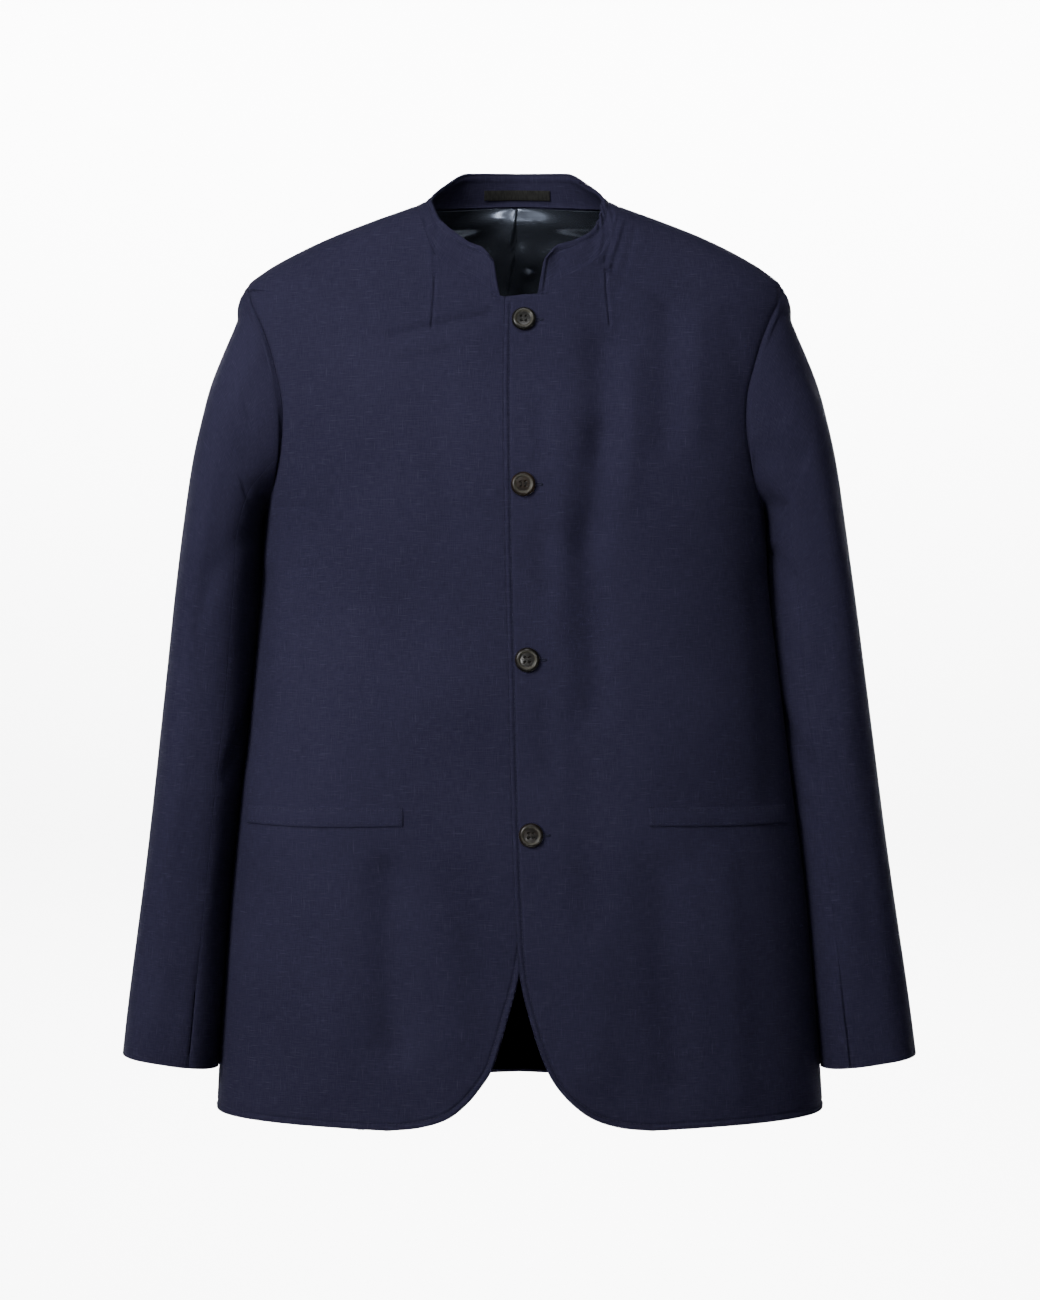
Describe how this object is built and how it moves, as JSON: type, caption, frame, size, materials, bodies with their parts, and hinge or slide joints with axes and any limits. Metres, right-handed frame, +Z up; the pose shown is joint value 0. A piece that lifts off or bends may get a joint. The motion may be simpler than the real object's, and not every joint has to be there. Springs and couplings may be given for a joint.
{
  "type": "collarless jacket",
  "caption": "Short tailored navy jacket with a low band collar, buttoned front, rounded cut-away hems, welt pockets and long sleeves, filled out hollow as worn.",
  "frame": {"origin": "midway between the two points where the shoulder seams meet the collar's foot, where the wearer's neck and shoulders hold the jacket", "axes": "+Z up, -Y the garment's front, +X the wearer's left"},
  "size_m": [0.631, 0.2308, 0.761],
  "materials": {
    "cloth": "matt navy suiting with a fine uneven cross weave",
    "lining": "blue-grey satin",
    "label": "bare dark woven tape",
    "horn": "dark polished horn look"
  },
  "bodies": {
    "root": {"front_left": "cloth", "front_right": "cloth", "back": "cloth", "collar": "cloth", "collar_label": "label", "back_lining": "lining", "top_sleeve_left": "cloth", "under_sleeve_left": "cloth", "pocket_welt_left": "cloth", "top_sleeve_right": "cloth", "under_sleeve_right": "cloth", "pocket_welt_right": "cloth", "button_1": "horn", "button_2": "horn", "button_3": "horn", "button_4": "horn"}
  },
  "joints": []
}
